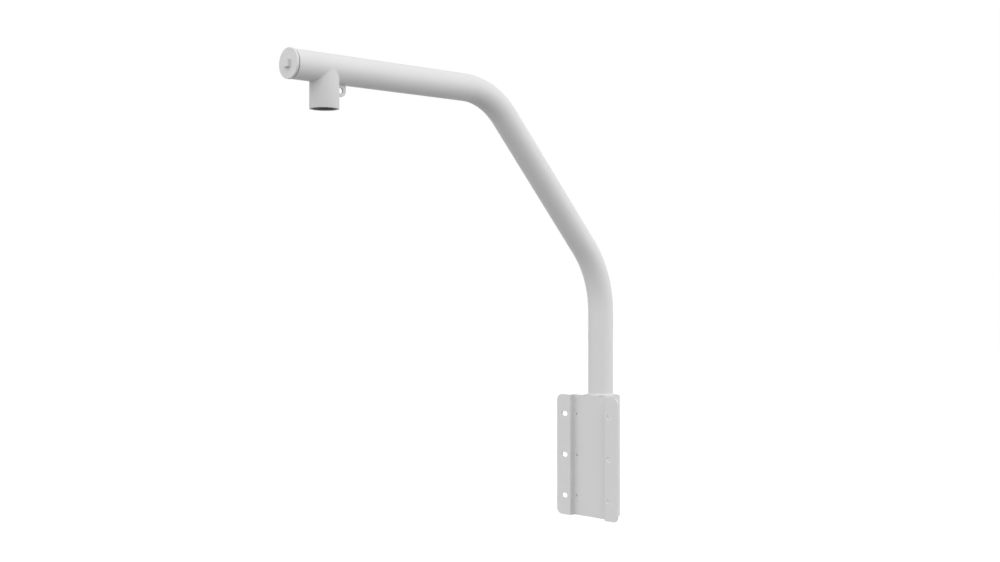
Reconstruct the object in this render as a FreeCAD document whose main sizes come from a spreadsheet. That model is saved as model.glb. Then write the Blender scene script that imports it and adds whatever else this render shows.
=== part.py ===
"""Camera wall bracket for a parapet: a folded mounting plate, a bent tube arm that rises behind it and
reaches out over it, and a threaded spout under the arm's end that takes a pendant camera.

The frame has its origin at the centre of the six wall slots, on the face of the flanges that lies
against the wall. Z is up, the arm reaches towards -Y and the tube stands behind the plate at +Y.
"""

import FreeCAD, Part
import math
import os
import Sketcher

V = FreeCAD.Vector

doc = FreeCAD.newDocument("camera_wall_bracket")
sheet = doc.addObject("Spreadsheet::Sheet", "sizes")

# Driving dimensions, in millimetres and degrees
SIZES = {
    "sheet_thickness": 3.4,  # steel sheet of the plate and the channel

    "plate_width": 196,  # over the two flanges
    "plate_height": 294,  # of the plate and the channel
    "plate_corner": 15,  # radius of the flanges' four outer corners
    "recess_width": 110,  # between the side walls of the plate's recess
    "recess_depth": 17,  # from the flanges' wall face to the web
    "flange_bend": 0.5,  # inner radius of the folds at the flanges
    "web_bend": 1.5,  # inner radius of the folds at the web
    "slot_pitch_across": 146,  # between the two columns of wall slots
    "slot_pitch_along": 100,  # between the three rows of wall slots
    "slot_length": 19,  # over the round ends
    "slot_width": 12,  # takes a bolt of 10 mm
    "small_hole": 4.2,  # six small holes in the web, tapped for 5 mm screws
    "small_hole_pitch": 93,  # between their two columns

    "tube_diameter": 60.3,  # outside of the arm
    "tube_wall": 3.2,  # of the arm
    "foot_straight": 202.7,  # straight tube above the plate
    "lower_bend": 230,  # radius of the lower bend on the tube's axis
    "upper_bend": 171.5,  # radius of the upper bend on the tube's axis
    "slope": 42.6,  # degrees that the sloping run leans from upright
    "arm_height": 851.5,  # axis of the level run above the plate's middle
    "arm_reach": 863.7,  # from the wall face to the tube's open end
    "tube_end_chamfer": 0.6,  # on the outer edge of the open end

    "channel_gap": 0.1,  # between the tube and the web or a side wall of the channel
    "channel_slack": 1.6,  # between the tube and the channel's floor behind it
    "channel_bend": 0.6,  # inner radius of the channel's two folds

    "foot_weld_rise": 5,  # of the bead round the tube's foot, up the tube
    "foot_weld_leg": 2.6,  # of the same bead, out over the sheet edges
    "seam_leg": 3,  # of the stitches along the channel
    "seam_length": 40,  # of one stitch
    "seam_pitch": 110,  # between stitches

    "spout_setback": 80.6,  # from the tube's open end to the spout's axis
    "spout_length": 51.95,  # from the arm's underside to the spout's mouth
    "spout_inset": 0.3,  # the spout is turned this much slimmer than the tube
    "thread_wall": 7.75,  # of the spout, from its side to the crests of the pipe thread in it
    "thread_length": 24,  # from the mouth to the relief above the thread
    "relief_wall": 5,  # of the spout above its thread
    "mouth_bevel": 2,  # lead-in of the thread
    "mouth_edge": 0.8,  # bevel of the mouth's outer edge
    "cable_hole": 42,  # from the spout into the arm

    "lug_thickness": 5,  # flat bar
    "lug_width": 25.4,  # across the bar's round end
    "lug_setback": 9.9,  # from the spout's side to the lug's hole
    "lug_drop": 11.65,  # from the arm's underside to the lug's hole
    "lug_hole": 12,  # takes the hook of a safety cord
    "lug_weld_leg": 2.4,  # of the beads along the lug

    "gasket_thickness": 2.2,  # pressed between cap and tube end
    "gasket_inset": 0.5,  # the gasket's rim lies under the tube's surface
    "cap_overhang": 0.9,  # of the end plug's flange past the tube, all round
    "cap_thickness": 5.2,  # of the end plug's flange
    "cap_edge": 0.8,  # bevel of the flange's rim
    "spigot_clearance": 0.15,  # between the plug's spigot and the tube's bore
    "spigot_length": 16,  # in the tube
    "spigot_bevel": 1.5,  # on the spigot's end
    "key_square": 15.5,  # across the flats of the plug's square
    "key_height": 6.8,  # of the plug's square
    "key_edge": 0.4,  # bevel round the square's outer end
}
for row, (alias, value) in enumerate(SIZES.items(), 1):
    sheet.set(f"A{row}", alias)
    sheet.set(f"B{row}", str(value))
    sheet.setAlias(f"B{row}", alias)
doc.recompute()


def val(alias):
    """A driving dimension as a number."""
    return float(sheet.get(alias))


def number(text):
    """The present value of an expression of the sheet's sizes."""
    return float(sheet.evalExpression(text))


def new_body(label, across="0", along="0", up="0"):
    """A sub-part, with its own origin at a place in the bracket's frame."""
    body = doc.addObject("PartDesign::Body", label)
    body.Label = label
    for axis, place in (("x", across), ("y", along), ("z", up)):
        body.setExpression(f"Placement.Base.{axis}", place)
    return body


def origin_item(body, role):
    """One of the body's own origin planes or axes."""
    return next(item for item in body.Origin.OriginFeatures if item.Role == role)


def new_sketch(body, name, plane, offset="0"):
    """A sketch on one of the body's origin planes, moved along the plane's normal."""
    sketch = body.newObject("Sketcher::SketchObject", name)
    sketch.AttachmentSupport = [(origin_item(body, plane), "")]
    sketch.MapMode = "FlatFace"
    sketch.setExpression("AttachmentOffset.Base.z", offset)
    return sketch


def hold(sketch, kind, where, text):
    """A sketch dimension that follows an expression."""
    value = math.radians(number(text)) if kind == "Angle" else number(text)
    index = sketch.addConstraint(Sketcher.Constraint(kind, *where, value))
    sketch.setExpression(f"Constraints[{index}]", text)


def hold_point(sketch, item, point, across, up):
    """Holds a point of the sketch at its place from the sketch's origin."""
    hold(sketch, "DistanceX", (-1, 1, item, point), across)
    hold(sketch, "DistanceY", (-1, 1, item, point), up)


def circle(sketch, diameter, across="0", up="0"):
    """A circle of a driven diameter at a driven place."""
    middle = V(number(across), number(up), 0)
    item = sketch.addGeometry(Part.Circle(middle, V(0, 0, 1), number(diameter) / 2), False)
    hold(sketch, "Radius", (item,), f"({diameter}) / 2")
    hold_point(sketch, item, 3, across, up)


def outline(sketch, corners):
    """A closed outline of straight lines through driven corners."""
    places = [V(number(across), number(up), 0) for across, up in corners]
    items = []
    for start, end in zip(places, places[1:] + places[:1]):
        items.append(sketch.addGeometry(Part.LineSegment(start, end), False))
    for item, following in zip(items, items[1:] + items[:1]):
        sketch.addConstraint(Sketcher.Constraint("Coincident", item, 2, following, 1))
    for item, (across, up) in zip(items, corners):
        hold_point(sketch, item, 1, across, up)


def pad(body, name, sketch, length, both_ways=False):
    """Sheet or bar of a driven length on a sketch."""
    feature = body.newObject("PartDesign::Pad", name)
    feature.Profile = sketch
    feature.SideType = "Symmetric" if both_ways else "One side"
    feature.setExpression("Length", length)
    doc.recompute()
    return feature


def cut(body, name, sketch, length, both_ways=True):
    """A pocket, which has to take something away."""
    before = body.Shape.Volume
    feature = body.newObject("PartDesign::Pocket", name)
    feature.Profile = sketch
    feature.SideType = "Symmetric" if both_ways else "One side"
    feature.setExpression("Length", length)
    doc.recompute()
    if body.Shape.Volume >= before:
        raise ValueError(f"{body.Label}: {name} cuts nothing")
    return feature


def three_rows(body, name, feature):
    """Repeats a pocket upwards in the three rows of the wall slots."""
    rows_up = body.newObject("PartDesign::LinearPattern", name)
    rows_up.Originals = [feature]
    rows_up.Direction = (origin_item(body, "Z_Axis"), [""])
    rows_up.setExpression("Length", "2 * sizes.slot_pitch_along")
    rows_up.Occurrences = 3
    body.Tip = rows_up
    doc.recompute()


def edges(shape, chosen):
    """Names of the edges that a test picks."""
    return [f"Edge{number}" for number, edge in enumerate(shape.Edges, 1) if chosen(edge)]


def along(axis, **place):
    """A test for straight edges along an axis whose middles lie at a place, signs left out."""
    def chosen(edge):
        if not isinstance(edge.Curve, Part.Line):
            return False
        if abs(abs(getattr(edge.Curve.Direction, axis)) - 1) > 1e-6:
            return False
        middle = edge.valueAt((edge.FirstParameter + edge.LastParameter) / 2)
        return all(abs(abs(getattr(middle, key)) - value) < 1e-4 for key, value in place.items())
    return chosen


def ring(radius, **place):
    """A test for whole circles of a radius whose centres lie at a place."""
    def chosen(edge):
        if not isinstance(edge.Curve, Part.Circle) or abs(edge.Curve.Radius - radius) > 1e-4:
            return False
        return all(abs(getattr(edge.Curve.Center, key) - value) < 1e-4 for key, value in place.items())
    return chosen


def dress(body, kind, name, chosen, size_name, amount):
    """A fillet or chamfer on the edges that a test picks."""
    base = body.Tip
    names = edges(base.Shape, chosen)
    if not names:
        raise ValueError(f"{body.Label}: {name} finds no edge")
    feature = body.newObject(f"PartDesign::{kind}", name)
    feature.Base = (base, names)
    feature.setExpression(size_name, amount)
    doc.recompute()
    return feature


# Places that several pieces share
WEB_BACK = "(sizes.recess_depth + sizes.sheet_thickness)"
TUBE_RADIUS = "(sizes.tube_diameter / 2)"
TUBE_BORE = "(sizes.tube_diameter - 2 * sizes.tube_wall)"
TUBE_AXIS = f"({WEB_BACK} + sizes.channel_gap + {TUBE_RADIUS})"
CHANNEL_INSIDE = f"({TUBE_RADIUS} + sizes.channel_gap)"
CHANNEL_OUTSIDE = f"({CHANNEL_INSIDE} + sizes.sheet_thickness)"
PLATE_TOP = "(sizes.plate_height / 2)"
SPOUT_AXIS = "(sizes.spout_setback - sizes.arm_reach)"
SPOUT_DIAMETER = "(sizes.tube_diameter - sizes.spout_inset)"
SPOUT_DROP = f"({TUBE_RADIUS} + sizes.spout_length)"
THREAD_MINOR = f"({SPOUT_DIAMETER} - 2 * sizes.thread_wall)"
RELIEF_BORE = f"({SPOUT_DIAMETER} - 2 * sizes.relief_wall)"
LUG_SETBACK = f"({SPOUT_DIAMETER} / 2 + sizes.lug_setback)"
LUG_DROP = f"({TUBE_RADIUS} + sizes.lug_drop)"


def mounting_plate():
    """One sheet, folded four times: two flanges, two side walls and the web between them."""
    body = new_body("mounting_plate")
    edge = "sizes.plate_width / 2"
    inside = "sizes.recess_width / 2"
    outside = "(sizes.recess_width / 2 + sizes.sheet_thickness)"
    half = [(edge, "0"), (edge, "sizes.sheet_thickness"), (outside, "sizes.sheet_thickness"),
            (outside, WEB_BACK)]
    inner_half = [(inside, "sizes.recess_depth"), (inside, "0")]
    section = new_sketch(body, "plate_section", "XY_Plane")
    outline(section, half + [(f"-{x}", y) for x, y in reversed(half)]
            + [(f"-{x}", y) for x, y in reversed(inner_half)] + inner_half)
    pad(body, "folded_sheet", section, "sizes.plate_height", both_ways=True)

    sheet_thickness = val("sheet_thickness")
    at_inside = val("recess_width") / 2
    at_outside = at_inside + sheet_thickness
    depth = val("recess_depth")
    dress(body, "Fillet", "flange_folds_inner", along("z", x=at_outside, y=sheet_thickness),
          "Radius", "sizes.flange_bend")
    dress(body, "Fillet", "flange_folds_outer", along("z", x=at_inside, y=0),
          "Radius", "sizes.flange_bend + sizes.sheet_thickness")
    dress(body, "Fillet", "web_folds_inner", along("z", x=at_inside, y=depth),
          "Radius", "sizes.web_bend")
    dress(body, "Fillet", "web_folds_outer", along("z", x=at_outside, y=depth + sheet_thickness),
          "Radius", "sizes.web_bend + sizes.sheet_thickness")
    dress(body, "Fillet", "flange_corners",
          along("y", x=val("plate_width") / 2, z=val("plate_height") / 2),
          "Radius", "sizes.plate_corner")

    slots = new_sketch(body, "slots", "XZ_Plane")
    for side in ("-", ""):
        slot(slots, f"{side}sizes.slot_pitch_across / 2", "-sizes.slot_pitch_along")
    three_rows(body, "slot_rows", cut(body, "slot_pair", slots, "4 * sizes.sheet_thickness"))

    holes = new_sketch(body, "small_holes", "XZ_Plane", "-sizes.recess_depth")
    for side in ("-", ""):
        circle(holes, "sizes.small_hole", f"{side}sizes.small_hole_pitch / 2",
               "-sizes.slot_pitch_along")
    three_rows(body, "small_hole_rows",
               cut(body, "small_hole_pair", holes, "4 * sizes.sheet_thickness"))
    return body


def slot(sketch, across, up):
    """A level slot with round ends about a driven middle."""
    reach = "(sizes.slot_length - sizes.slot_width) / 2"
    radius = "sizes.slot_width / 2"
    middle = V(number(across), number(up), 0)
    half = V(number(reach), 0, 0)
    rise = V(0, number(radius), 0)
    ends = []
    for direction, start in ((1, -90), (-1, 90)):
        rim = Part.Circle(middle + half * direction, V(0, 0, 1), number(radius))
        arc = Part.ArcOfCircle(rim, math.radians(start), math.radians(start + 180))
        ends.append(sketch.addGeometry(arc, False))
    top = sketch.addGeometry(Part.LineSegment(middle + half + rise, middle - half + rise), False)
    low = sketch.addGeometry(Part.LineSegment(middle - half - rise, middle + half - rise), False)
    right, left = ends
    for first, first_end, second, second_end in ((right, 2, top, 1), (top, 2, left, 1),
                                                 (left, 2, low, 1), (low, 2, right, 1)):
        sketch.addConstraint(Sketcher.Constraint("Tangent", first, first_end, second, second_end))
    hold(sketch, "Radius", (right,), radius)
    hold_point(sketch, right, 3, f"{across} + {reach}", up)
    hold_point(sketch, left, 3, f"{across} - {reach}", up)


def back_channel():
    """One sheet, folded into a U round the tube's foot, with its two edges on the web's back."""
    body = new_body("back_channel")
    floor = f"({TUBE_AXIS} + {TUBE_RADIUS} + sizes.channel_slack)"
    back = f"({floor} + sizes.sheet_thickness)"
    half = [(CHANNEL_OUTSIDE, back), (CHANNEL_OUTSIDE, WEB_BACK), (CHANNEL_INSIDE, WEB_BACK),
            (CHANNEL_INSIDE, floor)]
    section = new_sketch(body, "channel_section", "XY_Plane")
    outline(section, half + [(f"-{x}", y) for x, y in reversed(half)])
    pad(body, "folded_channel", section, "sizes.plate_height", both_ways=True)
    dress(body, "Fillet", "channel_folds_inner",
          along("z", x=number(CHANNEL_INSIDE), y=number(floor)), "Radius", "sizes.channel_bend")
    dress(body, "Fillet", "channel_folds_outer",
          along("z", x=number(CHANNEL_OUTSIDE), y=number(back)),
          "Radius", "sizes.channel_bend + sizes.sheet_thickness")
    return body


def arm_tube():
    """One tube, bent twice, from the plate's foot to its open end, with the cable hole at the spout."""
    body = new_body("arm_tube")
    foot = f"-{PLATE_TOP}"
    bend_start = f"({PLATE_TOP} + sizes.foot_straight)"
    path = new_sketch(body, "tube_path", "YZ_Plane")
    upright, lower, sloping, upper, level = tube_path(path, foot, bend_start)

    section = new_sketch(body, "tube_section", "XY_Plane", foot)
    circle(section, "sizes.tube_diameter", "0", TUBE_AXIS)
    circle(section, TUBE_BORE, "0", TUBE_AXIS)
    tube = body.newObject("PartDesign::AdditivePipe", "bent_tube")
    tube.Profile = section
    tube.Spine = (path, [f"Edge{item + 1}" for item in (upright, lower, sloping, upper, level)])
    doc.recompute()

    cable = new_sketch(body, "cable_hole", "XY_Plane", "sizes.arm_height")
    circle(cable, "sizes.cable_hole", "0", SPOUT_AXIS)
    cut(body, "cable_opening", cable, "sizes.tube_diameter", both_ways=False)
    dress(body, "Chamfer", "open_end_edge",
          ring(number(TUBE_RADIUS), y=-val("arm_reach"), z=val("arm_height")),
          "Size", "sizes.tube_end_chamfer")
    return body


def tube_path(path, foot, bend_start):
    """The tube's axis: three straight runs joined by two tangent bends."""
    slope = math.radians(val("slope"))
    lower_radius, upper_radius = val("lower_bend"), val("upper_bend")
    start = V(number(TUBE_AXIS), number(foot), 0)
    bend = V(number(TUBE_AXIS), number(bend_start), 0)
    lower_middle = bend - V(lower_radius, 0, 0)
    leaning = V(-math.sin(slope), math.cos(slope), 0)
    outwards = V(math.cos(slope), math.sin(slope), 0)
    lower_end = lower_middle + outwards * lower_radius
    rise = val("arm_height") - lower_end.y - upper_radius * (1 - math.sin(slope))
    upper_start = lower_end + leaning * (rise / math.cos(slope))
    upper_middle = upper_start - outwards * upper_radius
    upper_end = upper_middle + V(0, upper_radius, 0)
    end = V(-val("arm_reach"), upper_end.y, 0)

    def bent(middle, radius, first, last):
        return Part.ArcOfCircle(Part.Circle(middle, V(0, 0, 1), radius), first, last)

    runs = [Part.LineSegment(start, bend), bent(lower_middle, lower_radius, 0, slope),
            Part.LineSegment(lower_end, upper_start),
            bent(upper_middle, upper_radius, slope, math.pi / 2), Part.LineSegment(upper_end, end)]
    items = [path.addGeometry(run, False) for run in runs]
    for item, following in zip(items, items[1:]):
        path.addConstraint(Sketcher.Constraint("Tangent", item, 2, following, 1))
    upright, lower, sloping, upper, level = items
    path.addConstraint(Sketcher.Constraint("Vertical", upright))
    path.addConstraint(Sketcher.Constraint("Horizontal", level))
    hold_point(path, upright, 1, TUBE_AXIS, foot)
    hold(path, "DistanceY", (-1, 1, upright, 2), bend_start)
    hold(path, "Radius", (lower,), "sizes.lower_bend")
    hold(path, "Angle", (sloping,), "90 + sizes.slope")
    hold(path, "Radius", (upper,), "sizes.upper_bend")
    hold_point(path, level, 2, "-sizes.arm_reach", "sizes.arm_height")
    return items


def foot_weld():
    """The bead round the tube, on the top edges of the plate's web and of the channel."""
    body = new_body("foot_weld", along=TUBE_AXIS, up=PLATE_TOP)
    section = new_sketch(body, "foot_bead_section", "XZ_Plane")
    outline(section, [(TUBE_RADIUS, "0"), (f"{TUBE_RADIUS} + sizes.foot_weld_leg", "0"),
                      (f"{TUBE_RADIUS} + 0.7 * sizes.foot_weld_leg", "0.5 * sizes.foot_weld_rise"),
                      (TUBE_RADIUS, "sizes.foot_weld_rise")])
    bead = body.newObject("PartDesign::Revolution", "foot_bead")
    bead.Profile = section
    bead.ReferenceAxis = (section, ["V_Axis"])
    bead.Angle = 360
    doc.recompute()
    return body


def channel_welds():
    """Stitches in the corners between the channel's walls and the back of the plate."""
    body = new_body("channel_welds", along=WEB_BACK)
    body.AllowCompound = True
    section = new_sketch(body, "stitch_sections", "XY_Plane", "-sizes.seam_pitch")
    for side in ("-", ""):
        quarter(section, f"{side}{CHANNEL_OUTSIDE}", "0", "sizes.seam_leg", 1 if side == "" else -1)
    stitches = pad(body, "stitch_pair", section, "sizes.seam_length", both_ways=True)
    rows_up = body.newObject("PartDesign::LinearPattern", "stitch_rows")
    rows_up.Originals = [stitches]
    rows_up.Direction = (origin_item(body, "Z_Axis"), [""])
    rows_up.setExpression("Length", "2 * sizes.seam_pitch")
    rows_up.Occurrences = 3
    body.Tip = rows_up
    doc.recompute()
    return body


def quarter(sketch, across, up, radius, side):
    """A quarter disc in the corner at a driven place, opening to +1 or -1 across."""
    corner = V(number(across), number(up), 0)
    reach = number(radius)
    rim = Part.Circle(corner, V(0, 0, 1), reach)
    first = 0 if side > 0 else math.pi / 2
    arc = sketch.addGeometry(Part.ArcOfCircle(rim, first, first + math.pi / 2), False)
    upright, level = V(0, reach, 0), V(side * reach, 0, 0)
    low = sketch.addGeometry(Part.LineSegment(corner, corner + level), False)
    tall = sketch.addGeometry(Part.LineSegment(corner, corner + upright), False)
    low_end, tall_end = (1, 2) if side > 0 else (2, 1)
    sketch.addConstraint(Sketcher.Constraint("Coincident", low, 2, arc, low_end))
    sketch.addConstraint(Sketcher.Constraint("Coincident", tall, 2, arc, tall_end))
    sketch.addConstraint(Sketcher.Constraint("Coincident", low, 1, arc, 3))
    sketch.addConstraint(Sketcher.Constraint("Coincident", tall, 1, arc, 3))
    sketch.addConstraint(Sketcher.Constraint("Horizontal", low))
    sketch.addConstraint(Sketcher.Constraint("Vertical", tall))
    hold_point(sketch, arc, 3, across, up)
    hold(sketch, "Radius", (arc,), radius)


def camera_spout():
    """A thick-walled coupling with a pipe thread, coped to sit under the level run."""
    body = new_body("camera_spout", along=SPOUT_AXIS, up=f"sizes.arm_height - {SPOUT_DROP}")
    section = new_sketch(body, "spout_section", "XY_Plane")
    circle(section, SPOUT_DIAMETER)
    circle(section, THREAD_MINOR)
    pad(body, "spout_wall", section, SPOUT_DROP)
    relief = new_sketch(body, "relief_section", "XY_Plane", SPOUT_DROP)
    circle(relief, RELIEF_BORE)
    cut(body, "thread_relief", relief, f"{SPOUT_DROP} - sizes.thread_length", both_ways=False)
    saddle = new_sketch(body, "spout_saddle", "XZ_Plane")
    circle(saddle, "sizes.tube_diameter", "0", SPOUT_DROP)
    cut(body, "spout_cope", saddle, f"2 * {SPOUT_DIAMETER}")
    dress(body, "Chamfer", "thread_lead_in", ring(number(THREAD_MINOR) / 2, z=0),
          "Size", "sizes.mouth_bevel")
    dress(body, "Chamfer", "mouth_rim", ring(number(SPOUT_DIAMETER) / 2, z=0),
          "Size", "sizes.mouth_edge")
    return body


def lug_body(label):
    """A sub-part with its origin at the lug's hole."""
    return new_body(label, along=f"{SPOUT_AXIS} + {LUG_SETBACK}", up=f"sizes.arm_height - {LUG_DROP}")


def cope_to_arm_and_spout(body):
    """Cuts a piece at the lug back to the surfaces of the arm and the spout."""
    saddle = new_sketch(body, f"{body.Label}_saddle", "XZ_Plane")
    circle(saddle, "sizes.tube_diameter", "0", LUG_DROP)
    cut(body, f"{body.Label}_arm_cope", saddle, f"4 * (sizes.lug_width + {LUG_SETBACK})")
    side = new_sketch(body, f"{body.Label}_side", "XY_Plane")
    circle(side, SPOUT_DIAMETER, "0", f"-{LUG_SETBACK}")
    cut(body, f"{body.Label}_spout_cope", side, f"4 * {LUG_DROP}")


def safety_lug():
    """A piece of flat bar with a round end and a hole, on edge between the arm and the spout."""
    body = lug_body("safety_lug")
    bar = new_sketch(body, "lug_outline", "YZ_Plane")
    half = val("lug_width") / 2
    top = number(LUG_DROP)
    rim = Part.Circle(V(0, 0, 0), V(0, 0, 1), half)
    round_end = bar.addGeometry(Part.ArcOfCircle(rim, math.pi, 2 * math.pi), False)
    rear = bar.addGeometry(Part.LineSegment(V(half, 0, 0), V(half, top, 0)), False)
    head = bar.addGeometry(Part.LineSegment(V(half, top, 0), V(-half, top, 0)), False)
    front = bar.addGeometry(Part.LineSegment(V(-half, top, 0), V(-half, 0, 0)), False)
    bar.addConstraint(Sketcher.Constraint("Tangent", round_end, 2, rear, 1))
    bar.addConstraint(Sketcher.Constraint("Coincident", rear, 2, head, 1))
    bar.addConstraint(Sketcher.Constraint("Coincident", head, 2, front, 1))
    bar.addConstraint(Sketcher.Constraint("Tangent", front, 2, round_end, 1))
    bar.addConstraint(Sketcher.Constraint("Vertical", rear))
    bar.addConstraint(Sketcher.Constraint("Horizontal", head))
    hold_point(bar, round_end, 3, "0", "0")
    hold(bar, "Radius", (round_end,), "sizes.lug_width / 2")
    hold(bar, "DistanceY", (-1, 1, rear, 2), LUG_DROP)
    pad(body, "lug_bar", bar, "sizes.lug_thickness", both_ways=True)
    cope_to_arm_and_spout(body)
    hole = new_sketch(body, "lug_hole", "YZ_Plane")
    circle(hole, "sizes.lug_hole")
    cut(body, "lug_bore", hole, "4 * sizes.lug_thickness")
    return body


def lug_welds():
    """Two small beads, one on each side of the lug, where it meets the arm."""
    body = lug_body("lug_welds")
    body.AllowCompound = True
    beads = new_sketch(body, "lug_bead_sections", "XZ_Plane", "-sizes.lug_width / 2")
    for side in ("-", ""):
        circle(beads, "2 * sizes.lug_weld_leg", f"{side}sizes.lug_thickness / 2",
               "sizes.lug_drop")
    pad(body, "lug_beads", beads, LUG_SETBACK)
    between = new_sketch(body, "lug_between", "XY_Plane")
    width, reach = "sizes.lug_thickness / 2", f"2 * {LUG_SETBACK}"
    outline(between, [(width, f"-{reach}"), (width, reach), (f"-{width}", reach),
                      (f"-{width}", f"-{reach}")])
    cut(body, "lug_between_cut", between, f"4 * {LUG_DROP}")
    cope_to_arm_and_spout(body)
    return body


def end_plug():
    """A turned plug with a flange and a square for the key, screwed into the arm's open end."""
    body = new_body("end_plug", along="-sizes.arm_reach", up="sizes.arm_height")
    section = new_sketch(body, "plug_section", "YZ_Plane")
    seat = "-sizes.gasket_thickness"
    face = "-(sizes.gasket_thickness + sizes.cap_thickness)"
    rim = f"({TUBE_RADIUS} + sizes.cap_overhang)"
    spigot = f"({TUBE_BORE} / 2 - sizes.spigot_clearance)"
    outline(section, [(face, "0"), ("sizes.spigot_length", "0"),
                      ("sizes.spigot_length", f"{spigot} - sizes.spigot_bevel"),
                      ("sizes.spigot_length - sizes.spigot_bevel", spigot), (seat, spigot),
                      (seat, rim), (face, rim)])
    turned = body.newObject("PartDesign::Revolution", "turned_plug")
    turned.Profile = section
    turned.ReferenceAxis = (section, ["H_Axis"])
    turned.Angle = 360
    doc.recompute()
    dress(body, "Chamfer", "cap_rim", ring(number(rim), y=number(face)),
          "Size", "sizes.cap_edge")

    square = new_sketch(body, "key_square", "XZ_Plane",
                        "sizes.gasket_thickness + sizes.cap_thickness")
    flat = "sizes.key_square / 2"
    outline(square, [(flat, f"-{flat}"), (flat, flat), (f"-{flat}", flat),
                     (f"-{flat}", f"-{flat}")])
    pad(body, "key", square, "sizes.key_height")
    key_end = number(face) - val("key_height")
    dress(body, "Chamfer", "key_bevel",
          lambda edge: isinstance(edge.Curve, Part.Line) and abs(edge.BoundBox.Center.y - key_end) < 1e-4,
          "Size", "sizes.key_edge")
    return body


def plug_gasket():
    """A rubber ring, pressed between the plug's flange and the tube's open end."""
    body = new_body("plug_gasket", along="-sizes.arm_reach", up="sizes.arm_height")
    section = new_sketch(body, "gasket_section", "XZ_Plane")
    circle(section, "sizes.tube_diameter - 2 * sizes.gasket_inset")
    circle(section, TUBE_BORE)
    pad(body, "gasket_ring", section, "sizes.gasket_thickness")
    return body


sub_parts = [mounting_plate(), back_channel(), arm_tube(), foot_weld(), channel_welds(),
             camera_spout(), safety_lug(), lug_welds(), end_plug(), plug_gasket()]
doc.recompute()

for item in doc.Objects:
    if any(state in item.State for state in ("Invalid", "Error")):
        raise ValueError(f"{item.Label} failed: {item.State}")
for sub_part in sub_parts:
    if sub_part.Shape.isNull() or not sub_part.Shape.isValid():
        raise ValueError(f"{sub_part.Label} has no valid shape")

os.makedirs("parts", exist_ok=True)
for sub_part in sub_parts:
    sub_part.Shape.exportStep(f"parts/{sub_part.Label}.step")
    print(f"{sub_part.Label}: {len(sub_part.Shape.Solids)} solids, {sub_part.Shape.Volume:.0f} mm3")
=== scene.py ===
"""The finished look of a parapet camera bracket: powder-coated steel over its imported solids."""

import math

import bmesh
import bpy
from mathutils import Matrix, Vector


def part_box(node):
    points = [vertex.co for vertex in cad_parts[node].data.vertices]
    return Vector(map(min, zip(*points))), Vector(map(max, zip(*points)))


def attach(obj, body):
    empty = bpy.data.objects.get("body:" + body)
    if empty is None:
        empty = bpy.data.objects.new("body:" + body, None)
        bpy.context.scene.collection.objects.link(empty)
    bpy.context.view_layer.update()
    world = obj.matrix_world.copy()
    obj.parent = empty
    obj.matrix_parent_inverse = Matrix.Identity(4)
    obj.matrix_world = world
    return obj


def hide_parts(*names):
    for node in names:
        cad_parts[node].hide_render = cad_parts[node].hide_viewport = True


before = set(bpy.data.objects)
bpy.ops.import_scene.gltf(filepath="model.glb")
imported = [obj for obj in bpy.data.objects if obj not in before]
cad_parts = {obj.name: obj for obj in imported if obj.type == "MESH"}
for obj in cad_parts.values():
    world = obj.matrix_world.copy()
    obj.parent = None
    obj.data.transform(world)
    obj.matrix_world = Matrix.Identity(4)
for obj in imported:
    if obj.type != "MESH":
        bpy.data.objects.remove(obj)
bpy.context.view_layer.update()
MM = 0.001

# Camera
# A level view of the bracket's right front from a little over three metres, with a normal lens.
# The camera stands below the arm, so that the mouth of the spout is seen from slightly below.
VIEW_TURN = 0.798837
VIEW_PLACE = (2.16933, -2.40352, 0.42467)
FOCAL_PIXELS = 1339.67
PHOTO_WIDTH = 1000

lens = bpy.data.cameras.new("photo_view")
lens.sensor_width = 36
lens.lens = FOCAL_PIXELS / PHOTO_WIDTH * lens.sensor_width
camera = bpy.data.objects.new("photo_view", lens)
camera.location = VIEW_PLACE
camera.rotation_euler = (math.pi / 2, 0, VIEW_TURN)
bpy.context.scene.collection.objects.link(camera)
bpy.context.scene.camera = camera

# Mounting plate
# One sheet of steel folded into two flanges and a shallow recess, with slots and small holes made
# before the folds. Its cut edges are deburred, and the whole bracket is powder coated light grey.
COAT_TONE = 0.60
COAT_SPREAD = 0.012
SHEET_EDGE = 0.35 * MM
SAME_POINT = 0.001 * MM
SAME_PLANE = math.radians(0.5)


def new_material(name):
    """A material with an empty node tree apart from its shader and output."""
    made = bpy.data.materials.new(name)
    made.use_nodes = True
    return made, made.node_tree, made.node_tree.nodes["Principled BSDF"]


def noise(tree, per_metre, detail):
    """Noise on the object's own coordinates, with a number of features in each metre."""
    coordinates = tree.nodes.new("ShaderNodeTexCoord")
    texture = tree.nodes.new("ShaderNodeTexNoise")
    texture.inputs["Scale"].default_value = per_metre
    texture.inputs["Detail"].default_value = detail
    tree.links.new(coordinates.outputs["Object"], texture.inputs["Vector"])
    return texture.outputs["Fac"]


def between(tree, factor, low, high):
    """A value that runs from low to high with a factor."""
    spread = tree.nodes.new("ShaderNodeMapRange")
    spread.inputs["To Min"].default_value = low
    spread.inputs["To Max"].default_value = high
    tree.links.new(factor, spread.inputs["Value"])
    return spread.outputs["Result"]


def grey(tree, level):
    """A neutral colour of a brightness."""
    tone = tree.nodes.new("ShaderNodeCombineColor")
    for channel in ("Red", "Green", "Blue"):
        tree.links.new(level, tone.inputs[channel])
    return tone.outputs["Color"]


def rough(tree, shader, texture, low, high):
    """Gives a shader a roughness that wanders between two values."""
    tree.links.new(between(tree, texture, low, high), shader.inputs["Roughness"])


def bump(tree, height, distance, normal=None):
    """A normal that shows a height field as relief, with its depth in metres."""
    relief = tree.nodes.new("ShaderNodeBump")
    relief.inputs["Strength"].default_value = 1.0
    relief.inputs["Distance"].default_value = distance
    tree.links.new(height, relief.inputs["Height"])
    if normal is not None:
        tree.links.new(normal, relief.inputs["Normal"])
    return relief.outputs["Normal"]


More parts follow.
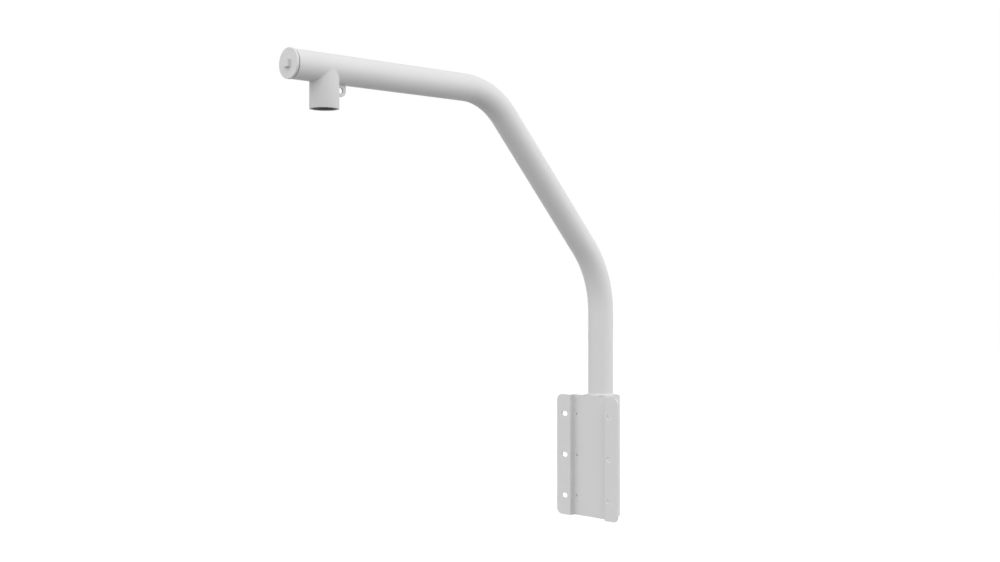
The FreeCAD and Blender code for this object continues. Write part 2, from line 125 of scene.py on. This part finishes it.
def powder_coat():
    """Light grey polyester powder: even in colour, satin, with the fine orange peel of baking."""
    made, tree, shader = new_material("grey_powder_coat")
    clouds = noise(tree, per_metre=9, detail=3)
    level = between(tree, clouds, COAT_TONE - COAT_SPREAD, COAT_TONE + COAT_SPREAD)
    tree.links.new(grey(tree, level), shader.inputs["Base Color"])
    rough(tree, shader, noise(tree, per_metre=60, detail=2), low=0.46, high=0.56)
    waves = bump(tree, noise(tree, per_metre=420, detail=1), distance=0.03 * MM)
    grain = bump(tree, noise(tree, per_metre=1600, detail=2), distance=0.012 * MM, normal=waves)
    tree.links.new(grain, shader.inputs["Normal"])
    shader.inputs["Specular IOR Level"].default_value = 0.35
    return made


def finish_piece(name, mesh, material, slot, *nodes):
    """Puts a finished mesh on the bracket in place of the solids that it stands for."""
    piece = bpy.data.objects.new(name, mesh)
    bpy.context.scene.collection.objects.link(piece)
    mesh.materials.clear()
    mesh.materials.append(material)
    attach(piece, "root")
    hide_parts(*nodes)
    return piece


def smooth(bm, name, crease=35):
    """The mesh of a finished bmesh, shaded smooth up to a crease in degrees."""
    bmesh.ops.recalc_face_normals(bm, faces=bm.faces)
    mesh = bpy.data.meshes.new(name)
    bm.to_mesh(mesh)
    bm.free()
    mesh.shade_smooth()
    mesh.set_sharp_from_angle(angle=math.radians(crease))
    return mesh


def eased_copy(node, edge, crease=30):
    """A solid's mesh with its sharp edges rounded, as deburring and the coat leave them."""
    bm = bmesh.new()
    bm.from_mesh(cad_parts[node].data)
    bmesh.ops.remove_doubles(bm, verts=bm.verts, dist=SAME_POINT)
    bmesh.ops.dissolve_limit(bm, angle_limit=SAME_PLANE, verts=bm.verts, edges=bm.edges)
    sharp = [e for e in bm.edges if len(e.link_faces) == 2
             and e.calc_face_angle() > math.radians(crease)]
    bmesh.ops.bevel(bm, geom=sharp, offset=edge, segments=2, profile=0.5, affect="EDGES",
                    clamp_overlap=True, material=-1)
    return bm


def level_faces(piece):
    """Keeps the shading of large flat faces flat beside their rounded edges."""
    piece.modifiers.new("flat_faces", "WEIGHTED_NORMAL").keep_sharp = True


coat = powder_coat()
plate_mesh = smooth(eased_copy("mounting_plate", SHEET_EDGE), "plate_sheet")
plate = finish_piece("plate_sheet", plate_mesh, coat, "powder_coat", "mounting_plate")
level_faces(plate)

# Tapped holes
# Six small holes through the plate's web for 5 mm machine screws. They are tapped after the coat is
# baked, so the coat ends at their rims and their threads are bare steel. The dark tone of that
# steel is partly painted shade for the inside of the small bores.
HOLE_MAJOR = 5 * MM
HOLE_MINOR = 4.2 * MM
HOLE_PITCH = 0.8 * MM
HOLE_SPACING = 93 * MM
HOLE_ROWS = 100 * MM
HOLE_RIM = 3 * MM
HOLE_TURNS = 2
HOLE_STEPS = 24
HOLE_SUNK = 0.02 * MM
SHEET = 3.4 * MM
RIDGE_TOP = (0.42, 0.58)
RIDGE_LEAST = 0.05


def steel_with_painted_shade():
    """Bare cut steel with the fine drag marks of the tool. Its dark tone is partly the steel's own
    and partly painted shade, for the dark inside the spout's mouth and the small holes.
    """
    made, tree, shader = new_material("uncoated_steel_and_painted_shade")
    # The dark base tone is partly painted shade for the insides of the spout's mouth and the small
    # holes.
    level = between(tree, noise(tree, per_metre=240, detail=3), low=0.13, high=0.20)
    tree.links.new(grey(tree, level), shader.inputs["Base Color"])
    rough(tree, shader, noise(tree, per_metre=700, detail=2), low=0.42, high=0.58)
    marks = bump(tree, noise(tree, per_metre=2600, detail=1), distance=0.01 * MM)
    tree.links.new(marks, shader.inputs["Normal"])
    shader.inputs["Metallic"].default_value = 0.3
    return made


def leave_bare(piece, is_bare):
    """Leaves those faces of a coated piece bare whose centres pass a test, in the dark steel whose
    tone is partly painted shade.
    """
    piece.data.materials.append(bare_steel_and_shade)
    for face in piece.data.polygons:
        if is_bare(face.center):
            face.material_index = 1


def widen_bores(mesh, centres, factor):
    """Widens small bores along y from the size of their threads' crests to that of the roots."""
    for vert in mesh.vertices:
        for centre in centres:
            outwards = vert.co - centre
            if outwards.xz.length < HOLE_RIM / factor:
                vert.co = centre + outwards * Vector((factor, 1, factor))


def wound_ridge(root, crest, pitch, turns, steps, place):
    """One right-handed screw ridge in a bore, which sinks into the wall at both of its ends."""
    bm = bmesh.new()
    ridge = [(root, 0), (crest, RIDGE_TOP[0]), (crest, RIDGE_TOP[1]), (root, 1)]
    verts = [bm.verts.new((r, 0, z * pitch)) for r, z in ridge]
    edges = [bm.edges.new(pair) for pair in zip(verts, verts[1:] + verts[:1])]
    bmesh.ops.spin(bm, geom=verts + edges, cent=(0, 0, 0), axis=(0, 0, 1), steps=steps * turns,
                   angle=2 * math.pi * turns, dvec=(0, 0, pitch / steps), use_merge=False)
    bmesh.ops.holes_fill(bm, edges=[e for e in bm.edges if e.is_boundary])
    for vert in bm.verts:
        reach = vert.co.xy.length
        if reach < (root + crest) / 2:
            wound = vert.co.z / pitch
            fade = max(RIDGE_LEAST, min(1, 2 * wound, 2 * (turns + 1 - wound)))
            vert.co.xy *= (root + (reach - root) * fade) / reach
    bmesh.ops.transform(bm, matrix=place, verts=bm.verts)
    return bm


def join_into(target, part):
    """Adds one bmesh to another."""
    mesh = bpy.data.meshes.new("part")
    part.to_mesh(mesh)
    part.free()
    target.from_mesh(mesh)
    bpy.data.meshes.remove(mesh)


def add_piece(name, mesh, material):
    """Puts a finished detail on the bracket that the solids leave out."""
    piece = bpy.data.objects.new(name, mesh)
    bpy.context.scene.collection.objects.link(piece)
    mesh.materials.append(material)
    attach(piece, "root")
    return piece


bare_steel_and_shade = steel_with_painted_shade()
web_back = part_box("mounting_plate")[1].y
hole_places = [Vector((side * HOLE_SPACING / 2, web_back - SHEET, row * HOLE_ROWS))
               for side in (-1, 1) for row in (-1, 0, 1)]
widen_bores(plate.data, hole_places, HOLE_MAJOR / HOLE_MINOR)
# The faces inside each bore and on its rim get the dark bare steel, whose tone is partly painted
# shade there.
leave_bare(plate, lambda point: any((point - place).xz.length < HOLE_RIM for place in hole_places))

hole_threads = bmesh.new()
ridge_length = (HOLE_TURNS + 1) * HOLE_PITCH
for place in hole_places:
    start = place + Vector((0, (SHEET - ridge_length) / 2, 0))
    inwards = Matrix.Translation(start) @ Matrix.Rotation(-math.pi / 2, 4, "X")
    join_into(hole_threads, wound_ridge(HOLE_MAJOR / 2 + HOLE_SUNK, HOLE_MINOR / 2, HOLE_PITCH,
                                        HOLE_TURNS, HOLE_STEPS, inwards))
add_piece("hole_threads", smooth(hole_threads, "hole_threads", crease=25), bare_steel_and_shade)

# Back channel
# A second sheet of steel, folded to a U that boxes in the tube's foot. Its two cut edges butt
# on the back of the plate's web, and it spreads the arm's load over the whole height of the plate.
channel_mesh = smooth(eased_copy("back_channel", SHEET_EDGE), "channel_sheet")
channel = finish_piece("channel_sheet", channel_mesh, coat, "powder_coat", "back_channel")
level_faces(channel)

# Arm tube
# One length of round steel tube, cold bent twice, from the plate's lower edge to the open end
# beyond the spout. A hole in its underside lets the camera's cables down into the spout.
TUBE_DIAMETER = 60.3 * MM
TUBE_WALL = 3.2 * MM
LOWER_BEND = 230 * MM
UPPER_BEND = 171.5 * MM
SLOPE = math.radians(42.6)
FOOT_STRAIGHT = 202.7 * MM
ARM_REACH = 863.7 * MM
CHANNEL_GAP = 0.1 * MM
SPOUT_DROP = 82.1 * MM
SPOUT_SETBACK = 80.6 * MM
SPOUT_DIAMETER = 60 * MM
CABLE_HOLE = 42 * MM
END_BEVEL = 0.6 * MM
ROUND_STEPS = 96
BEND_STEPS = 24
DRILL_STEPS = 64
NEAR = 0.01 * MM
FACING_OUT = -0.9

plate_low, plate_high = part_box("mounting_plate")
spout_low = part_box("camera_spout")[0]
tube_radius = TUBE_DIAMETER / 2
tube_back = plate_high.y + CHANNEL_GAP + tube_radius
arm_axis = spout_low.z + SPOUT_DROP
spout_axis = Vector((0, SPOUT_SETBACK - ARM_REACH, 0))
spout_radius = SPOUT_DIAMETER / 2


def section(bm, radius, centre):
    """A level ring of a radius, as edges."""
    made = bmesh.ops.create_circle(bm, segments=ROUND_STEPS, radius=radius,
                                   matrix=Matrix.Translation(centre))
    return list({e for v in made["verts"] for e in v.link_edges})


def run(bm, edges, shift):
    """Carries rings along a straight run and gives the rings at its end."""
    made = bmesh.ops.extrude_edge_only(bm, edges=edges)["geom"]
    bmesh.ops.translate(bm, vec=shift, verts=[g for g in made if isinstance(g, bmesh.types.BMVert)])
    return [g for g in made if isinstance(g, bmesh.types.BMEdge)]


def bend(bm, edges, centre, angle):
    """Carries rings round a bend about a level axis and gives the rings at its end."""
    verts = list({v for e in edges for v in e.verts})
    made = bmesh.ops.spin(bm, geom=verts + edges, cent=centre, axis=(1, 0, 0), angle=angle,
                          steps=BEND_STEPS, use_merge=False)["geom_last"]
    return [g for g in made if isinstance(g, bmesh.types.BMEdge)]


def arm_mesh():
    """The tube's wall, inside and out, run by run from the foot to the open end."""
    foot = Vector((0, tube_back, plate_low.z))
    rise = plate_high.z - plate_low.z + FOOT_STRAIGHT
    lower_centre = Vector((0, tube_back - LOWER_BEND, plate_low.z + rise))
    leaning = Vector((0, -math.sin(SLOPE), math.cos(SLOPE)))
    outwards = Vector((0, math.cos(SLOPE), math.sin(SLOPE)))
    slope_start = lower_centre + outwards * LOWER_BEND
    climb = arm_axis - slope_start.z - UPPER_BEND * (1 - math.sin(SLOPE))
    slope_length = climb / math.cos(SLOPE)
    upper_centre = slope_start + leaning * slope_length - outwards * UPPER_BEND
    stops = [spout_axis.y + spout_radius, spout_axis.y - spout_radius, -ARM_REACH]

    bm = bmesh.new()
    rings = run(bm, section(bm, tube_radius, foot), Vector((0, 0, rise)))
    rings = bend(bm, rings, lower_centre, SLOPE)
    rings = run(bm, rings, leaning * slope_length)
    rings = bend(bm, rings, upper_centre, math.pi / 2 - SLOPE)
    place = upper_centre.y
    for stop in stops:
        rings = run(bm, rings, Vector((0, stop - place, 0)))
        place = stop
    bmesh.ops.recalc_face_normals(bm, faces=bm.faces)
    bmesh.ops.solidify(bm, geom=bm.faces, thickness=TUBE_WALL)
    rim = [e for e in bm.edges if all(v.co.y < NEAR - ARM_REACH for v in e.verts)
           and len({f.normal.y < FACING_OUT for f in e.link_faces}) == 2]
    bmesh.ops.bevel(bm, geom=rim, offset=END_BEVEL, segments=1, profile=0.5, affect="EDGES",
                    material=-1)
    return smooth(bm, "arm_wall", crease=30)


def drill(piece, radius, low, high):
    """Cuts an upright round hole through a piece between two points on its axis."""
    bm = bmesh.new()
    bmesh.ops.create_cone(bm, segments=DRILL_STEPS, radius1=radius, radius2=radius, cap_ends=True,
                          depth=(high - low).length, matrix=Matrix.Translation((low + high) / 2))
    cutter_mesh = bpy.data.meshes.new("drill")
    bm.to_mesh(cutter_mesh)
    bm.free()
    cutter = bpy.data.objects.new("drill", cutter_mesh)
    bpy.context.scene.collection.objects.link(cutter)
    hole = piece.modifiers.new("hole", "BOOLEAN")
    hole.operation = "DIFFERENCE"
    hole.solver = "EXACT"
    hole.object = cutter
    bpy.context.view_layer.update()
    graph = bpy.context.evaluated_depsgraph_get()
    drilled = bpy.data.meshes.new_from_object(piece.evaluated_get(graph))
    piece.modifiers.remove(hole)
    piece.data = drilled
    bpy.data.objects.remove(cutter)


arm = finish_piece("arm_wall", arm_mesh(), coat, "powder_coat", "arm_tube")
drill(arm, CABLE_HOLE / 2, spout_axis + Vector((0, 0, arm_axis - 2 * tube_radius)),
      spout_axis + Vector((0, 0, arm_axis)))

# Foot weld
# The bead of steel that ties the tube to the top edges of the plate's web and of the channel. It is
# laid by hand all the way round the tube, and the coat softens its ripples.
FOOT_LEG = 2.6 * MM
FOOT_RISE = 5 * MM
BEAD_ACROSS = 10
BEAD_ALONG = 24
BEAD_BULGE = 0.18
BEAD_SAME_POINT = 0.002 * MM
RIPPLE_PITCH = 3.2 * MM
RIPPLE_DEPTH = 0.07
RIPPLE_SWEEP = 0.35
RIPPLE_STEPS = 6
ROUND_END = 8


def bead(place, length, leg, rise, closed=True):
    """A weld bead, closed in a ring or with two round ends. place gives, for a share of its length,
    the corner that it fills and the directions along the two faces that it joins; leg and rise are
    its reach along them."""
    across = BEAD_ACROSS
    along = max(BEAD_ALONG, round(length / (RIPPLE_PITCH / RIPPLE_STEPS)))
    ripples = round(length / RIPPLE_PITCH)
    bm = bmesh.new()
    bmesh.ops.create_grid(bm, x_segments=along, y_segments=across, size=1)
    for vert in bm.verts:
        share = (vert.co.x + 1) / 2
        over = (vert.co.y + 1) / 2 * across
        corner, first, second = place(share)
        if over < 0.5 or over > across - 0.5:
            vert.co = corner
            continue
        turn = (over - 1) / (across - 2)
        crown = math.sin(math.pi * turn)
        ripple = math.cos(2 * math.pi * (share * ripples + RIPPLE_SWEEP * crown))
        full = 1 + RIPPLE_DEPTH * ripple * crown
        if not closed:
            full *= math.sqrt(1 - abs(2 * share - 1) ** ROUND_END)
        start, end = first * leg, second * rise
        middle = (start + end) / 2 + (first + second).normalized() * (BEAD_BULGE * (leg + rise))
        curve = start * (1 - turn) ** 2 + middle * (2 * turn * (1 - turn)) + end * turn ** 2
        vert.co = corner + curve * full
    bmesh.ops.remove_doubles(bm, verts=bm.verts, dist=BEAD_SAME_POINT)
    if not closed:
        bmesh.ops.holes_fill(bm, edges=[e for e in bm.edges if e.is_boundary])
    return bm


def round_foot(share):
    """The corner between the tube and the plate's top edge."""
    angle = 2 * math.pi * share
    outwards = Vector((math.cos(angle), math.sin(angle), 0))
    corner = Vector((0, tube_back, plate_high.z)) + outwards * tube_radius
    return corner, outwards, Vector((0, 0, 1))


foot_bead = bead(round_foot, 2 * math.pi * tube_radius, FOOT_LEG, FOOT_RISE)
finish_piece("foot_bead", smooth(foot_bead, "foot_bead", crease=60), coat, "powder_coat",
             "foot_weld")

# Channel welds
# Three stitches down each side, in the corner between the channel's wall and the back of the plate.
# They are laid by hand like the bead at the foot, and coated with the rest.
SEAM_LEG = 3 * MM
SEAM_LENGTH = 40 * MM
SEAM_PITCH = 110 * MM

channel_low, channel_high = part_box("back_channel")
stitches = bmesh.new()
for side in (-1, 1):
    for row in (-1, 0, 1):
        start = Vector((side * channel_high.x, channel_low.y, row * SEAM_PITCH - SEAM_LENGTH / 2))

        def beside_wall(share, start=start, side=side):
            corner = start + Vector((0, 0, share * SEAM_LENGTH))
            return corner, Vector((side, 0, 0)), Vector((0, 1, 0))

        join_into(stitches, bead(beside_wall, SEAM_LENGTH, SEAM_LEG, SEAM_LEG, closed=False))
finish_piece("channel_beads", smooth(stitches, "channel_beads", crease=60), coat, "powder_coat",
             "channel_welds")

# Camera spout
# A thick-walled steel coupling, coped to the arm and welded under it. Its mouth is bevelled and
# threaded for the pipe nipple of a pendant camera, and it is bored wider above the thread. The coat
# is kept off its end and its bore, whose dark bare steel is partly painted shade for the inside of
# the mouth.
THREAD_MAJOR = 48.2 * MM
THREAD_LENGTH = 24 * MM
RELIEF_BORE = 50 * MM
LEAD_IN = 0.8 * MM
MOUTH_EDGE = 0.5 * MM
EDGE_ROUNDING = 0.3
TURNED_STEPS = 128

mouth = Vector((0, spout_axis.y, spout_low.z))


def turned(profile, centre, axis):
    """A closed profile turned a full circle about an axis through a centre."""
    bm = bmesh.new()
    verts = [bm.verts.new(point) for point in profile]
    edges = [bm.edges.new(pair) for pair in zip(verts, verts[1:] + verts[:1])]
    bmesh.ops.spin(bm, geom=verts + edges, cent=centre, axis=axis, angle=2 * math.pi,
                   steps=TURNED_STEPS, use_merge=True)
    bmesh.ops.remove_doubles(bm, verts=bm.verts, dist=SAME_POINT)
    return bm


def saddle_height(across):
    """Height of the arm's underside at a distance from its middle plane."""
    return arm_axis - math.sqrt(max(tube_radius ** 2 - across ** 2, 0))


def spout_mesh():
    """The coupling's wall, its top cut to the round of the arm."""
    top = arm_axis - mouth.z
    soft = EDGE_ROUNDING * MOUTH_EDGE
    profile = [(THREAD_MAJOR / 2, LEAD_IN), (THREAD_MAJOR / 2 + LEAD_IN, 0),
               (spout_radius - MOUTH_EDGE, 0), (spout_radius - soft, soft),
               (spout_radius, MOUTH_EDGE), (spout_radius, top), (RELIEF_BORE / 2, top),
               (RELIEF_BORE / 2, THREAD_LENGTH), (THREAD_MAJOR / 2, THREAD_LENGTH)]
    bm = turned([mouth + Vector((r, 0, z)) for r, z in profile], mouth, (0, 0, 1))
    for vert in bm.verts:
        if vert.co.z > mouth.z + top - NEAR:
            vert.co.z = saddle_height(vert.co.x)
    return smooth(bm, "spout_wall", crease=30)


spout = finish_piece("spout_wall", spout_mesh(), coat, "powder_coat", "camera_spout")
# The end, lead-in and bore get the dark bare steel, whose tone is partly painted shade for the
# inside of the mouth.
leave_bare(spout, lambda point: (point - mouth).xy.length < spout_radius - MOUTH_EDGE)

# Spout thread
# The right-handed pipe thread in the spout's mouth. It is cut into the coupling's steel after the
# coat is baked, so it is bare like the tapped holes, in the same dark steel whose tone is partly
# painted shade.
THREAD_MINOR = 44.5 * MM
THREAD_START = 1.4 * MM
THREAD_PITCH = 2.209 * MM
THREAD_STEPS = 72
THREAD_TURNS = 9
THREAD_SUNK = 0.1 * MM

spout_thread = wound_ridge(THREAD_MAJOR / 2 + THREAD_SUNK, THREAD_MINOR / 2, THREAD_PITCH,
                           THREAD_TURNS, THREAD_STEPS,
                           Matrix.Translation(mouth + Vector((0, 0, THREAD_START))))
add_piece("spout_thread", smooth(spout_thread, "spout_thread", crease=25), bare_steel_and_shade)

# Spout weld
# A small bead of steel along the saddle between the spout and the arm. It is dressed almost flush
# before coating, so that only a soft line shows where the two meet.
SADDLE_LEG = 1.1 * MM
SADDLE_STRETCH = 1.2


def on_saddle(share):
    """The corner between spout and arm, and the ways along their faces out of it."""
    angle = 2 * math.pi * share
    from_spout = Vector((math.cos(angle), math.sin(angle), 0))
    corner = spout_axis + from_spout * spout_radius
    corner.z = saddle_height(corner.x)
    from_arm = Vector((corner.x, 0, corner.z - arm_axis)).normalized()
    down_spout = (from_arm - from_spout * from_arm.dot(from_spout)).normalized()
    along_arm = (from_spout - from_arm * from_arm.dot(from_spout)).normalized()
    return corner, down_spout, along_arm


saddle_bead = bead(on_saddle, SADDLE_STRETCH * 2 * math.pi * spout_radius, SADDLE_LEG, SADDLE_LEG)
add_piece("saddle_bead", smooth(saddle_bead, "saddle_bead", crease=60), coat)

# Safety lug
# A short piece of flat steel bar with a round end and a hole for the hook of a safety cord. It is
# set on edge behind the spout and welded to the arm with a small bead on each side.
LUG_EDGE = 0.4 * MM
LUG_WELD_LEG = 2.4 * MM

lug_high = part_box("safety_lug")[1]
lug = finish_piece("lug_bar", smooth(eased_copy("safety_lug", LUG_EDGE), "lug_bar"), coat,
                   "powder_coat", "safety_lug")
level_faces(lug)

lug_front = spout_axis.y + spout_radius
lug_length = lug_high.y - lug_front
lug_beads = bmesh.new()
for side in (-1, 1):
    start = Vector((side * lug_high.x, lug_front, saddle_height(lug_high.x)))

    def beside_lug(share, start=start, side=side):
        corner = start + Vector((0, share * lug_length, 0))
        return corner, Vector((side, 0, 0)), Vector((0, 0, -1))

    join_into(lug_beads, bead(beside_lug, lug_length, LUG_WELD_LEG, LUG_WELD_LEG, closed=False))
finish_piece("lug_beads", smooth(lug_beads, "lug_beads", crease=60), coat, "powder_coat",
             "lug_welds")

# End plug
# A turned steel plug that closes the arm's open end. Its flange seats on a rubber ring, its spigot
# is screwed into the tube, and the square on its face takes a spanner. It is coated like the arm.
CAP_THICKNESS = 5.2 * MM
CAP_OVERHANG = 0.9 * MM
CAP_EDGE = 0.8 * MM
KEY_SQUARE = 15.5 * MM
KEY_EDGE = 0.4 * MM
SPIGOT_CLEARANCE = 0.15 * MM
SPIGOT_BEVEL = 1.5 * MM

plug_low, plug_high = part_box("end_plug")
gasket_low, gasket_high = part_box("plug_gasket")
tube_bore = tube_radius - TUBE_WALL
end_centre = Vector((0, gasket_high.y, arm_axis))
seat_y = gasket_low.y
face_y = seat_y - CAP_THICKNESS


def plug_mesh():
    """The flange and spigot, turned about the arm's axis, and the square on the flange's face."""
    rim = tube_radius + CAP_OVERHANG
    spigot = tube_bore - SPIGOT_CLEARANCE
    soft = EDGE_ROUNDING * CAP_EDGE
    profile = [(0, face_y), (rim - CAP_EDGE, face_y), (rim - soft, face_y + soft),
               (rim, face_y + CAP_EDGE), (rim, seat_y - soft), (rim - soft, seat_y),
               (spigot, seat_y), (spigot, plug_high.y - SPIGOT_BEVEL),
               (spigot - SPIGOT_BEVEL, plug_high.y), (0, plug_high.y)]
    bm = turned([Vector((r, y, arm_axis)) for r, y in profile], end_centre, (0, 1, 0))
    place = Matrix.Translation((0, (plug_low.y + face_y) / 2, arm_axis))
    size = Matrix.Diagonal((KEY_SQUARE, face_y - plug_low.y, KEY_SQUARE, 1))
    square = bmesh.ops.create_cube(bm, size=1, matrix=place @ size)["verts"]
    outer = [e for v in square for e in v.link_edges
             if any(abs(w.co.y - plug_low.y) < NEAR for w in e.verts)]
    bmesh.ops.bevel(bm, geom=list(set(outer)), offset=KEY_EDGE, segments=3, profile=0.5,
                    affect="EDGES", clamp_overlap=True, material=-1)
    return smooth(bm, "plug_cap", crease=30)


plug = finish_piece("plug_cap", plug_mesh(), coat, "powder_coat", "end_plug")
level_faces(plug)

# Plug gasket
# A flat ring of black rubber, squeezed between the plug's flange and the tube's end, so that its
# rim bulges a little in the gap.
GASKET_BULGE = 0.35 * MM
GASKET_SHOULDER = 0.1 * MM
GASKET_INSET = 0.5 * MM


def gasket_rubber():
    """Black rubber with the dull bloom and fine grain of a moulded ring."""
    made, tree, shader = new_material("black_gasket_rubber")
    level = between(tree, noise(tree, per_metre=180, detail=3), low=0.03, high=0.055)
    tree.links.new(grey(tree, level), shader.inputs["Base Color"])
    rough(tree, shader, noise(tree, per_metre=900, detail=2), low=0.7, high=0.9)
    grain = bump(tree, noise(tree, per_metre=3000, detail=1), distance=0.02 * MM)
    tree.links.new(grain, shader.inputs["Normal"])
    return made


def gasket_mesh():
    """The ring's section turned about the arm's axis, its rim rounded outwards."""
    rim = tube_radius - GASKET_INSET
    middle = (gasket_low.y + gasket_high.y) / 2
    shoulder = rim - GASKET_SHOULDER
    profile = [(tube_bore, gasket_low.y), (rim - GASKET_BULGE, gasket_low.y),
               (shoulder, (gasket_low.y + middle) / 2), (rim, middle),
               (shoulder, (gasket_high.y + middle) / 2), (rim - GASKET_BULGE, gasket_high.y),
               (tube_bore, gasket_high.y)]
    bm = turned([Vector((r, y, arm_axis)) for r, y in profile], end_centre, (0, 1, 0))
    return smooth(bm, "gasket_ring", crease=40)


finish_piece("gasket_ring", gasket_mesh(), gasket_rubber(), "gasket_rubber", "plug_gasket")

# Studio
# A pale floor well below the bracket and five wide, soft lights round it. Most of the light comes
# low from the right and high from the camera's side. Floor and surroundings are seen as white.
FLOOR_DROP = 0.45
FLOOR_SIZE = 30
FLOOR_SEEN = 0.99
FLOOR_LIT = 0.35
LIGHT_FALLOFF = 4
LOW = 10
HIGH = 50


def seen_by_camera(tree):
    """A factor of 1 for rays that show a surface directly or in a polished or clear one."""
    path = tree.nodes.new("ShaderNodeLightPath")
    factor = path.outputs["Is Camera Ray"]
    for kind in ("Is Glossy Ray", "Is Transmission Ray"):
        either = tree.nodes.new("ShaderNodeMath")
        either.operation = "MAXIMUM"
        tree.links.new(factor, either.inputs[0])
        tree.links.new(path.outputs[kind], either.inputs[1])
        factor = either.outputs["Value"]
    return factor


def floor():
    """A plain sheet floor."""
    bm = bmesh.new()
    bmesh.ops.create_grid(bm, x_segments=1, y_segments=1, size=FLOOR_SIZE / 2,
                          matrix=Matrix.Translation((0, 0, plate_low.z - FLOOR_DROP)))
    mesh = bpy.data.meshes.new("floor")
    bm.to_mesh(mesh)
    bm.free()
    made = bpy.data.objects.new("floor", mesh)
    bpy.context.scene.collection.objects.link(made)
    material, tree, shader = new_material("pale_floor")
    shader.inputs["Roughness"].default_value = 1.0
    shader.inputs["Specular IOR Level"].default_value = 0.0
    level = between(tree, seen_by_camera(tree), FLOOR_LIT, FLOOR_SEEN)
    tree.links.new(grey(tree, level), shader.inputs["Base Color"])
    mesh.materials.append(material)


def calculate(tree, operation, first, second):
    """A sum, product or the like of two numbers or sockets."""
    node = tree.nodes.new("ShaderNodeMath")
    node.operation = operation
    for socket, value in zip(node.inputs, (first, second)):
        if isinstance(value, (int, float)):
            socket.default_value = value
        else:
            tree.links.new(value, socket)
    return node.outputs["Value"]


def soft_light(tree, direction, to_right, height, strength):
    """Light from all round one direction, given in degrees to the camera's right and in height."""
    turn = VIEW_TURN + math.radians(to_right) - math.pi / 2
    rise = math.radians(height)
    facing = tree.nodes.new("ShaderNodeVectorMath")
    facing.operation = "DOT_PRODUCT"
    facing.inputs[1].default_value = (math.cos(turn) * math.cos(rise),
                                      math.sin(turn) * math.cos(rise), math.sin(rise))
    tree.links.new(direction, facing.inputs[0])
    in_front = calculate(tree, "MAXIMUM", facing.outputs["Value"], 0.0)
    return calculate(tree, "MULTIPLY", calculate(tree, "POWER", in_front, LIGHT_FALLOFF), strength)


def surroundings():
    """The soft lights, and white where the surroundings are seen."""
    world = bpy.data.worlds.new("studio")
    bpy.context.scene.world = world
    world.use_nodes = True
    tree = world.node_tree
    direction = tree.nodes.new("ShaderNodeTexCoord").outputs["Generated"]
    lights = [soft_light(tree, direction, to_right=90, height=LOW, strength=2.8),
              soft_light(tree, direction, to_right=135, height=LOW, strength=0.7),
              soft_light(tree, direction, to_right=-90, height=LOW, strength=1.3),
              soft_light(tree, direction, to_right=-45, height=LOW, strength=1.05),
              soft_light(tree, direction, to_right=0, height=HIGH, strength=2.2)]
    lit = lights[0]
    for light in lights[1:]:
        lit = calculate(tree, "ADD", lit, light)
    seen = tree.nodes.new("ShaderNodeMix")
    seen.inputs["B"].default_value = 1.0
    tree.links.new(seen_by_camera(tree), seen.inputs["Factor"])
    tree.links.new(lit, seen.inputs["A"])
    shine = tree.nodes["Background"]
    tree.links.new(seen.outputs["Result"], shine.inputs["Strength"])
    shine.inputs["Color"].default_value = (1, 1, 1, 1)


floor()
surroundings()
bpy.context.scene.view_settings.view_transform = "Standard"
